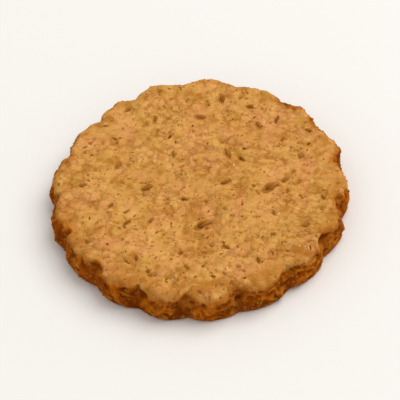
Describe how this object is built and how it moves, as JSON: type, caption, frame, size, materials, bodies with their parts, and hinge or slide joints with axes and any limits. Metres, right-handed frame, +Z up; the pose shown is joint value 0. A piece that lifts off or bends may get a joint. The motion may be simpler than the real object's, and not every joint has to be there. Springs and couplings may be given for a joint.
{
  "type": "anise biscuit",
  "caption": "Round wholemeal anise biscuit with a scalloped edge, a nearly flat crumbly top with embedded aniseeds, and a flat underside it rests on.",
  "frame": {"origin": "middle of the flat underside, at the level of the surface that the biscuit rests on", "axes": "+Z up through the top; +Y away from the viewer and +X to the viewer's right, as the picture shows it"},
  "size_m": [0.0611, 0.0614, 0.0079],
  "materials": {
    "baked_crust": "matt, dry and crumbly, mottled golden brown, darker on the edge",
    "aniseed": "matt, finely ribbed, dark brown",
    "bran": "matt flakes, light to dark brown"
  },
  "bodies": {
    "root": {"biscuit": "baked_crust"}
  },
  "joints": []
}
